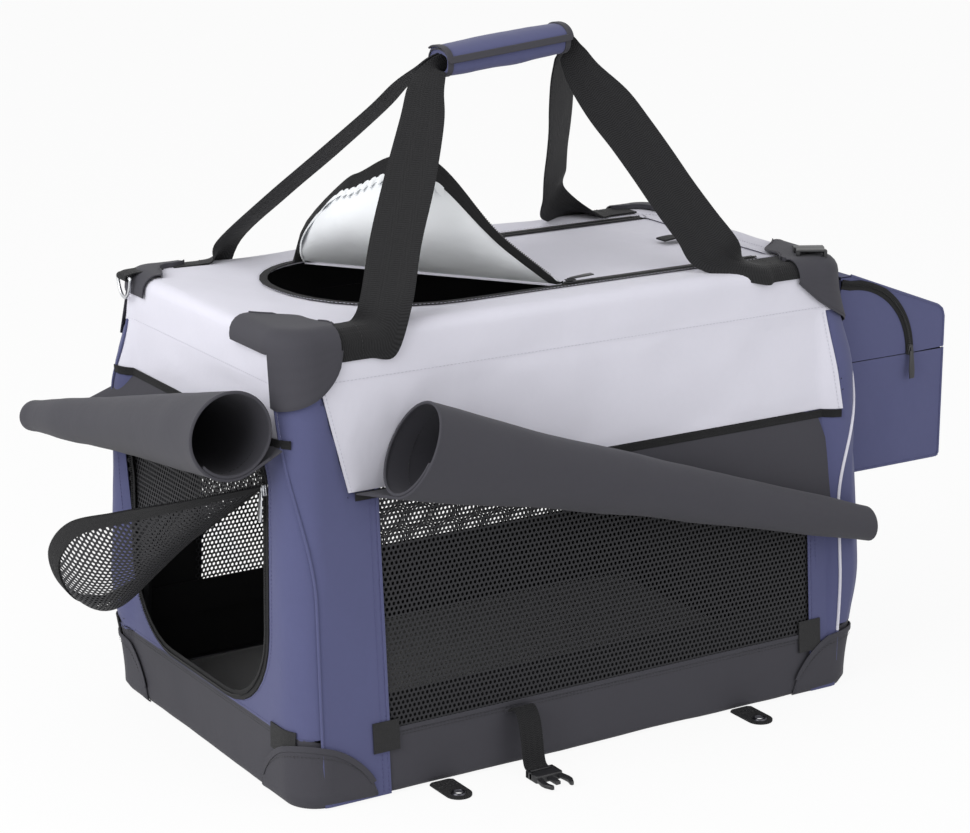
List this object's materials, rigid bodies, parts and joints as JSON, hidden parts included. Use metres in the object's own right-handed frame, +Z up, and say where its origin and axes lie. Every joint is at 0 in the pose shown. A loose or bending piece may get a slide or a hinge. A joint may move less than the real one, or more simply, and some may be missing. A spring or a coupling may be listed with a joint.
{
  "type": "pet travel crate",
  "caption": "Soft-sided folding pet carrier with a steel tube frame, mesh windows, rolled covers, peeled-back roof and end doors, carrying straps with a grip, and an end pocket.",
  "frame": {"origin": "centre of the base, on the surface that the crate stands on", "axes": "+X along the length from the door end to the pocket end, +Y from the near side to the far side, +Z up"},
  "size_m": [0.9568, 0.5835, 0.7],
  "materials": {
    "lilac_canvas": "pale lilac coated polyester canvas",
    "blue_canvas": "slate blue polyester canvas",
    "charcoal_canvas": "charcoal polyester canvas",
    "black_webbing": "ribbed black webbing",
    "black_net": "black hexagon mesh",
    "silver_lining": "silver-white coated lining",
    "dark_fleece": "short dark fleece",
    "floor_board": "matt board",
    "black_plastic": "moulded acetal",
    "steel_tube": "bright plated steel"
  },
  "bodies": {
    "base": {"base_board": "floor_board", "base_frame": "steel_tube", "base_tray": "charcoal_canvas", "boot_far_door": "charcoal_canvas", "boot_far_rear": "charcoal_canvas", "boot_near_door": "charcoal_canvas", "boot_near_rear": "charcoal_canvas", "closing_buckle": "black_plastic", "closing_strap": "black_webbing", "corner_strip_far_door": "blue_canvas", "corner_strip_far_rear": "blue_canvas", "corner_strip_near_door": "blue_canvas", "corner_strip_near_rear": "blue_canvas", "door_curtain": "charcoal_canvas", "door_mesh": "black_net", "door_valance": "lilac_canvas", "door_wall": "blue_canvas", "far_curtain": "charcoal_canvas", "far_valance": "lilac_canvas", "far_window": "black_net", "floor_mat": "dark_fleece", "ground_tab_far_door": "black_webbing", "ground_tab_far_rear": "black_webbing", "ground_tab_near_door": "black_webbing", "ground_tab_near_rear": "black_webbing", "hook_square_door_far": "black_webbing", "hook_square_door_near": "black_webbing", "hook_square_near_door": "black_webbing", "hook_square_near_rear": "black_webbing", "near_curtain": "charcoal_canvas", "near_valance": "lilac_canvas", "near_window": "black_net", "pocket_body": "blue_canvas", "rear_valance": "lilac_canvas", "rear_wall": "blue_canvas"},
    "rear_lower": {"rear_lower_hoop": "steel_tube"},
    "rear_upper": {"rear_upper_hoop": "steel_tube"},
    "door_lower": {"door_lower_hoop": "steel_tube"},
    "door_upper": {"door_upper_hoop": "steel_tube"},
    "top": {"top_frame": "steel_tube", "top_cover": "lilac_canvas", "top_patch_near_door": "charcoal_canvas", "top_patch_far_door": "charcoal_canvas", "top_patch_near_rear": "charcoal_canvas", "top_patch_far_rear": "charcoal_canvas", "carry_strap_near": "black_webbing", "carry_strap_far": "black_webbing", "roof_door_panel": "lilac_canvas", "corner_strap": "black_webbing", "corner_buckle": "black_plastic", "ring_tab": "black_webbing"},
    "handle": {"handle_grip": "blue_canvas"},
    "ring": {"d_ring": "steel_tube"},
    "roof_flap": {"roof_flap": "silver_lining"},
    "roof_zip": {"roof_slider": "black_plastic"},
    "door_flap": {"door_flap": "black_net"},
    "door_zip": {"door_slider": "steel_tube"},
    "pocket_lid": {"pocket_lid": "blue_canvas"},
    "pocket_zip": {"pocket_slider": "black_plastic"}
  },
  "joints": [
    {"name": "frame_fold", "type": "hinge", "parent": "base", "child": "rear_lower", "pos_m": [0.312, 0, 0.03], "axis": [0, -1, 0], "range_deg": [0, 80], "deforming": ["corner_strip_near_door", "corner_strip_far_door", "corner_strip_near_rear", "corner_strip_far_rear", "near_window", "far_window", "near_valance", "far_valance", "door_valance", "rear_valance", "door_wall", "rear_wall", "door_mesh", "near_curtain", "far_curtain", "door_curtain", "door_flap", "pocket_body", "pocket_lid"]},
    {"name": "rear_knee", "type": "hinge", "parent": "rear_lower", "child": "rear_upper", "pos_m": [0.312, 0, 0.225], "axis": [0, -1, 0], "range_deg": [-160, 0]},
    {"name": "top_pivot", "type": "hinge", "parent": "rear_upper", "child": "top", "pos_m": [0.312, 0, 0.42], "axis": [0, -1, 0], "range_deg": [0, 80]},
    {"name": "door_post_fold", "type": "hinge", "parent": "base", "child": "door_lower", "pos_m": [-0.312, 0, 0.03], "axis": [0, 1, 0], "range_deg": [0, 80]},
    {"name": "door_knee", "type": "hinge", "parent": "door_lower", "child": "door_upper", "pos_m": [-0.312, 0, 0.225], "axis": [0, 1, 0], "range_deg": [-160, 0]},
    {"name": "handle_drop", "type": "slide", "parent": "top", "child": "handle", "axis": [0, 0, -1], "range_m": [0, 0.075], "deforming": ["carry_strap_near", "carry_strap_far"]},
    {"name": "ring_swing", "type": "hinge", "parent": "top", "child": "ring", "pos_m": [-0.3395, 0.15, 0.4585], "axis": [0, 1, 0], "range_deg": [-10, 100]},
    {"name": "roof_flap_peel", "type": "hinge", "parent": "top", "child": "roof_flap", "pos_m": [0.018, -0.1168, 0.459], "axis": [0.5884, -0.8086, 0], "range_deg": [-8, 24]},
    {"name": "roof_zip_travel", "type": "slide", "parent": "top", "child": "roof_zip", "axis": [1, 0, 0], "range_m": [0, 0.13]},
    {"name": "door_flap_peel", "type": "hinge", "parent": "base", "child": "door_flap", "pos_m": [-0.33165, -0.1408, 0.312], "axis": [0.0079, -0.8541, 0.5201], "range_deg": [-12, 30]},
    {"name": "door_zip_travel", "type": "slide", "parent": "base", "child": "door_zip", "axis": [-0.0152, 0, -0.9999], "range_m": [0, 0.1]},
    {"name": "pocket_lid_open", "type": "hinge", "parent": "base", "child": "pocket_lid", "pos_m": [0.482, 0, 0.343], "axis": [0, -1, 0], "range_deg": [-95, 0]},
    {"name": "pocket_zip_travel", "type": "hinge", "parent": "base", "child": "pocket_zip", "pos_m": [0.35, -0.1675, 0.343], "axis": [0, -1, 0], "range_deg": [0, 80]}
  ],
  "couplings": [
    {"joint": "rear_knee", "follows": "frame_fold", "ratio": -2},
    {"joint": "top_pivot", "follows": "frame_fold", "ratio": 1},
    {"joint": "door_post_fold", "follows": "frame_fold", "ratio": 1},
    {"joint": "door_knee", "follows": "frame_fold", "ratio": -2}
  ]
}
